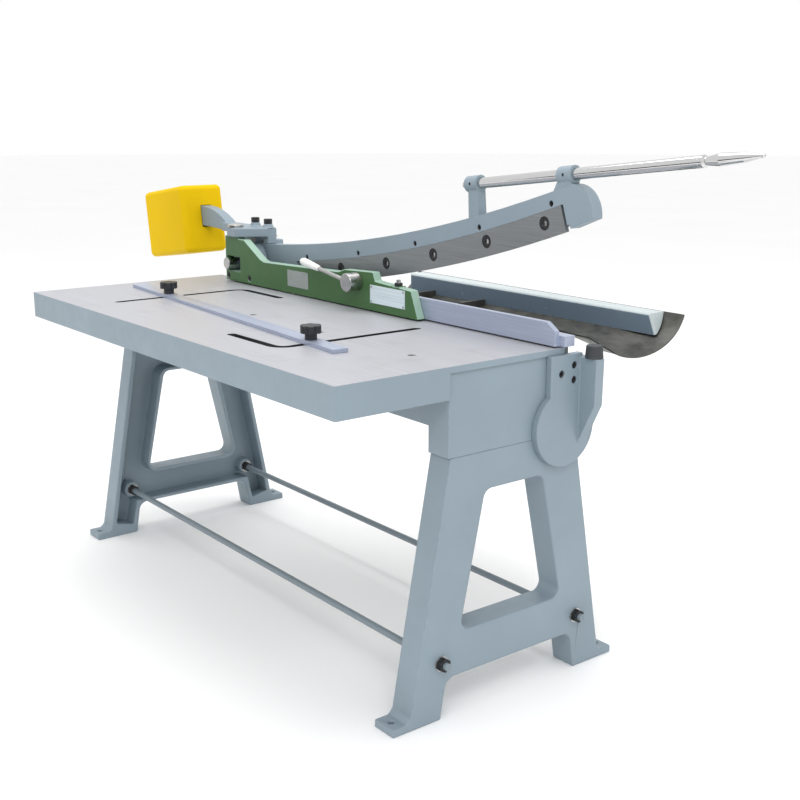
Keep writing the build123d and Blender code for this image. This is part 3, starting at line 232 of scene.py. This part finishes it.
def blacked(name, colour, rough=0.45):
    """Black-oxided screw steel with corners painted grey, partly as rubbed wear and partly as a painted
    highlight.
    """
    g = Graph(name)
    cloud = g.noise(300.0, 3)
    tone = g.mix(g.ramp(cloud, 0.35, 0.7), colour, tuple(c * 1.9 for c in colour[:3]) + (1.0,))
    # corners painted grey: rubbed wear and a painted highlight
    tone = g.mix(g.sum(g.edges(0.0015), 0.5, "MULTIPLY"), tone, rgb(0.35, 0.34, 0.33))
    gloss = g.ramp(cloud, 0.3, 0.7, rough - 0.08, rough + 0.15)
    return g.finish(tone, gloss, g.bump(cloud, 0.0002, 0.3), 0.55)


def moulded(name, colour, rough, grain=900.0, depth=0.00025, coat=0.0):
    """Moulded plastic or rubber with fine texture, dust in the grain, and edges painted paler as a
    painted highlight.
    """
    g = Graph(name)
    pores = g.cells(grain)
    dust = g.noise(45.0, 5, 0.65)
    pale = tuple(min(1.0, c * 1.5 + 0.03) for c in colour[:3]) + (1.0,)
    tone = g.mix(g.ramp(dust, 0.48, 0.75, 0.0, 0.5), colour, pale)
    # edges painted paler: a painted highlight
    tone = g.mix(g.sum(g.edges(0.002), 0.35, "MULTIPLY"), tone, pale)
    gloss = g.ramp(dust, 0.3, 0.7, rough - 0.05, rough + 0.12)
    return g.finish(tone, gloss, g.bump(pores, depth, 0.4), 0.0, Coat_Weight=coat)


def oiled(name, colour):
    """Rolled steel left dark and oiled: mill scale, rust bloom and sheen changes."""
    g = Graph(name)
    scale = g.noise(18.0, 7, 0.7)
    bloom = g.noise(55.0, 5, 0.65)
    tone = g.mix(g.ramp(scale, 0.35, 0.65), colour, tuple(c * 1.9 for c in colour[:3]) + (1.0,))
    tone = g.mix(g.ramp(bloom, 0.58, 0.74, 0.0, 0.35), tone, rgb(0.16, 0.125, 0.085))
    gloss = g.ramp(scale, 0.3, 0.7, 0.30, 0.55)
    return g.finish(tone, gloss, g.bump(scale, 0.0008, 0.35), 0.55)


MATERIALS = {
    "frame_paint": enamel("casting_blue_grey", rgb(0.226, 0.288, 0.334), rgb(0.36, 0.43, 0.47)),
    "beam_green": enamel("casting_green", rgb(0.052, 0.128, 0.044), rgb(0.20, 0.36, 0.20),
                         0.40, 0.25, 0.25),
    "weight_yellow": enamel("casting_yellow", rgb(0.70, 0.455, 0.004), rgb(0.86, 0.62, 0.03),
                            0.50, 0.2, 0.05),
    "bar_steel": enamel("rod_grey", rgb(0.19, 0.235, 0.265), rgb(0.36, 0.41, 0.43), 0.40, 0.1),
    "tray_paint": enamel("guard_blue_grey", rgb(0.150, 0.205, 0.262), rgb(0.50, 0.55, 0.57), 0.20, 0.05),
    "table_iron": machined("table_top_iron", rgb(0.410, 0.415, 0.445), (3, 420, 420), 0.42, 0.25, 0.22),
    "bar_machined": machined("ground_bar", rgb(0.380, 0.425, 0.540), (5, 900, 900), 0.34, 0.45),
    "blade_steel": machined("blade_steel", rgb(0.235, 0.250, 0.256), (9, 900, 700), 0.36, 0.6),
    "bright_steel": turned("bright_steel", rgb(0.46, 0.46, 0.45), 0.26),
    "handle_chrome": turned("chrome", rgb(0.62, 0.62, 0.62), 0.10, 1.0, 0.05),
    "bronze": turned("bronze", rgb(0.45, 0.27, 0.10), 0.30),
    "black_oxide": blacked("black_oxide", rgb(0.018, 0.019, 0.021)),
    "plate_aluminium": machined("blank_plate", rgb(0.66, 0.76, 0.80), (8, 700, 700), 0.38, 0.3, 0.04),
    "label_foil": machined("blank_label", rgb(0.29, 0.325, 0.31), (200, 200, 700), 0.40, 0.2, 0.3),
    "grip_white": moulded("grip_white", rgb(0.74, 0.74, 0.72), 0.25, 700.0, 0.0001, 0.3),
    "bumper_rubber": moulded("bumper_rubber", rgb(0.032, 0.036, 0.040), 0.62),
    "knob_black": moulded("knob_black", rgb(0.012, 0.013, 0.017), 0.42),
    "tray_steel": oiled("oiled_steel", rgb(0.058, 0.058, 0.052)),
}


# ---- pieces made from CAD nodes ----------------------------------------------------------------
def join_flats(bm):
    """Weld the seams of an imported mesh and merge its coplanar triangles."""
    bmesh.ops.remove_doubles(bm, verts=bm.verts, dist=WELD)
    bmesh.ops.dissolve_limit(bm, angle_limit=radians(FLAT_ANGLE), verts=bm.verts, edges=bm.edges)


def evaluated(obj):
    """The object's mesh with its modifiers applied."""
    bpy.context.view_layer.update()
    graph = bpy.context.evaluated_depsgraph_get()
    mesh = bpy.data.meshes.new_from_object(obj.evaluated_get(graph))
    obj.modifiers.clear()
    obj.data = mesh
    return obj


def new_piece(name, mesh):
    obj = bpy.data.objects.new(name, mesh)
    bpy.context.scene.collection.objects.link(obj)
    return obj


def smooth(obj):
    """Smooth shading that stays flat on large faces and sharp at unrounded edges."""
    obj.data.polygons.foreach_set("use_smooth", [True] * len(obj.data.polygons))
    obj.data.set_sharp_from_angle(angle=radians(SHARP_FROM))
    weighting = obj.modifiers.new("flat_faces", "WEIGHTED_NORMAL")
    weighting.keep_sharp = True
    evaluated(obj)


def skin(node, radius):
    """A finished piece for a CAD node: same solid, its edges rounded to radius."""
    mesh = NODES[node].data.copy()
    bm = bmesh.new()
    bm.from_mesh(mesh)
    join_flats(bm)
    bm.to_mesh(mesh)
    bm.free()
    obj = new_piece(node + "_piece", mesh)
    rounding = obj.modifiers.new("edges", "BEVEL")
    rounding.width = radius
    rounding.segments = ROUND_STEPS
    rounding.limit_method = "ANGLE"
    rounding.angle_limit = radians(ROUND_FROM)
    rounding.use_clamp_overlap = False
    rounding.miter_outer = "MITER_ARC"
    evaluated(obj)
    smooth(obj)
    obj.data.materials.clear()
    obj.data.materials.append(MATERIALS[SLOT_OF[node]])
    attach(obj, BODY_OF[node])
    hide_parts(node)
    return obj


# Edge radius in millimetres of each node that gets a finished piece.
ROUNDED = {
    "near_leg_frame": 4.0, "far_leg_frame": 4.0, "bed": 0.8, "table": 0.8, "lower_blade": 0.4,
    "pivot_bracket": 3.0, "hold_down_beam": 2.2, "clamp_bar": 0.8, "end_bracket": 2.0,
    "upper_blade": 0.5, "balance_arm": 3.0, "gauge_bar": 0.7, "nameplate": 0.3, "cam_shaft": 0.5,
    "offcut_tray": 0.8, "tray_back_plate": 0.5, "left_tray_bracket": 2.0, "right_tray_bracket": 2.0,
    "left_star_knob": 0.4, "right_star_knob": 0.4, "beam_anchor_pin": 0.6, "shaft_collar": 0.8,
    "pivot_shaft": 0.8, "tie_rod_nuts": 0.8, "tie_rod_washers": 0.4, "pivot_bracket_bolts": 0.6,
    "balance_arm_bolts": 0.7, "tray_bolts": 0.5, "tray_bracket_bolts": 0.6, "stop_nut": 0.6,
    "front_tie_rod": 1.0, "rear_tie_rod": 1.0, "upper_blade_screws": 0.3, "end_bracket_screws": 0.3,
    "handle_rod": 0.6, "cam_lever": 0.5, "frame_bolts": 0.6,
}


def finish_nodes():
    """Rounded pieces where listed; every other node keeps its mesh and gets its finish."""
    pieces = {}
    for node, radius in ROUNDED.items():
        pieces[node] = skin(node, radius * MM)
    for node, obj in NODES.items():
        if node not in pieces:
            obj.data.materials.clear()
            obj.data.materials.append(MATERIALS[SLOT_OF[node]])
    return pieces


def paint_table_sides(obj):
    """The top is planed iron, the slot walls are painted black as painted shade in the slots, apron and
    underside are enamelled.
    """
    low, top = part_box("table")
    obj.data.materials.append(MATERIALS["frame_paint"])
    obj.data.materials.append(MATERIALS["black_oxide"])
    for face in obj.data.polygons:
        x, y, z = face.center
        inside = (low.x + TABLE_RIM < x < top.x - TABLE_RIM
                  and low.y + TABLE_RIM < y < top.y - TABLE_RIM)
        if z > top.z - 1 * MM:
            face.material_index = 0
        else:
            # slot walls get black: painted shade inside the slots
            face.material_index = 2 if inside and z > top.z - SLOT_SHADE_DEPTH else 1


def paint_lit_faces(beam, guard):
    """Upward faces of the green beam, and upward or +X-facing faces of the guard, are painted paler: a
    painted highlight of the lit faces.
    """
    pale = enamel("casting_green_lit_top", rgb(0.30, 0.44, 0.36), rgb(0.42, 0.56, 0.48), 0.40, 0.25, 0.25)
    guard_highlight = enamel("guard_lit_faces", rgb(0.46, 0.52, 0.53), rgb(0.62, 0.66, 0.66), 0.28, 0.05)
    beam.data.materials.append(pale)
    # painted highlight on the beam's lit upper faces
    for face in beam.data.polygons:
        if face.normal.z > BEAM_LIT_FROM:
            face.material_index = 1
    # painted highlight on the guard's top and right end
    guard.data.materials.append(guard_highlight)
    for face in guard.data.polygons:
        if max(face.normal.z, face.normal.x) > GUARD_LIT_FROM:
            face.material_index = 1


def paint_socket_glints(obj):
    """The blade screws' sockets get bright steel inside a black ring: a painted reflection at the socket
    bottom.
    """
    obj.data.materials.append(MATERIALS["bright_steel"])
    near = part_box("upper_blade_screws")[0].y
    for face in obj.data.polygons:
        depth = face.center.y - near
        # socket bottoms facing the viewer get bright steel as a painted reflection
        if SOCKET_DEPTH[0] < depth < SOCKET_DEPTH[1] and face.normal.y < -0.5:
            face.material_index = 1


# ---- surroundings -----------------------------------------------------------------------------
def floor():
    mesh = bpy.data.meshes.new("floor")
    bm = bmesh.new()
    bmesh.ops.create_circle(bm, cap_ends=True, segments=96, radius=FLOOR_RADIUS)
    bm.to_mesh(mesh)
    bm.free()
    obj = new_piece("floor", mesh)
    g = Graph("studio_floor")
    tone = g.mix(g.ramp(g.noise(0.8, 3), 0.3, 0.7), rgb(0.95, 0.95, 0.95), rgb(0.97, 0.97, 0.97))
    obj.data.materials.append(g.finish(tone, 0.9, g.bump(g.noise(60.0), 0.0005, 0.1)))


def dark_card():
    """Low dark screen seen only by mirror-like metal, which gives the rods their dark streak."""
    mesh = bpy.data.meshes.new("dark_card")
    (left, right), (low, high) = CARD_X, CARD_Z
    corners = [(left, CARD_Y, low), (right, CARD_Y, low), (right, CARD_Y, high), (left, CARD_Y, high)]
    mesh.from_pydata(corners, [], [(0, 1, 2, 3)])
    obj = new_piece("dark_card", mesh)
    g = Graph("screen_black")
    cloth = g.noise(90.0, 3)
    tone = g.mix(cloth, rgb(0.02, 0.02, 0.02), rgb(0.05, 0.05, 0.05))
    obj.data.materials.append(g.finish(tone, 0.9, g.bump(cloth, 0.0005, 0.1)))
    obj.visible_camera = False
    obj.visible_diffuse = False
    obj.visible_shadow = False


def soft_box(name, place, size, power):
    light = bpy.data.lights.new(name, "AREA")
    light.shape = "RECTANGLE"
    light.size, light.size_y = size
    light.energy = power
    obj = bpy.data.objects.new(name, light)
    bpy.context.scene.collection.objects.link(obj)
    obj.location = place
    obj.rotation_euler = (Vector(LIGHT_AIM) - Vector(place)).to_track_quat("-Z", "Y").to_euler()


def studio():
    world = bpy.data.worlds.new("studio")
    world.use_nodes = True
    sky = world.node_tree.nodes["Background"]
    sky.inputs["Color"].default_value = rgb(1.0, 1.0, 1.0)
    sky.inputs["Strength"].default_value = 1.0
    bpy.context.scene.world = world
    bpy.context.scene.view_settings.view_transform = "Standard"
    floor()
    dark_card()
    soft_box("key", KEY_AT, KEY_SIZE, KEY_POWER)
    soft_box("top", TOP_AT, TOP_SIZE, TOP_POWER)


def camera():
    data = bpy.data.cameras.new("camera")
    data.lens = CAMERA_LENS
    data.sensor_width = SENSOR
    obj = bpy.data.objects.new("camera", data)
    bpy.context.scene.collection.objects.link(obj)
    obj.location = CAMERA_AT
    level = cos(CAMERA_PITCH)
    look = Vector((-sin(CAMERA_TURN) * level, cos(CAMERA_TURN) * level, -sin(CAMERA_PITCH)))
    obj.rotation_euler = look.to_track_quat("-Z", "Y").to_euler()
    bpy.context.scene.camera = obj


pieces = finish_nodes()
paint_table_sides(pieces["table"])
paint_socket_glints(pieces["upper_blade_screws"])
paint_lit_faces(pieces["hold_down_beam"], pieces["tray_back_plate"])
studio()
camera()
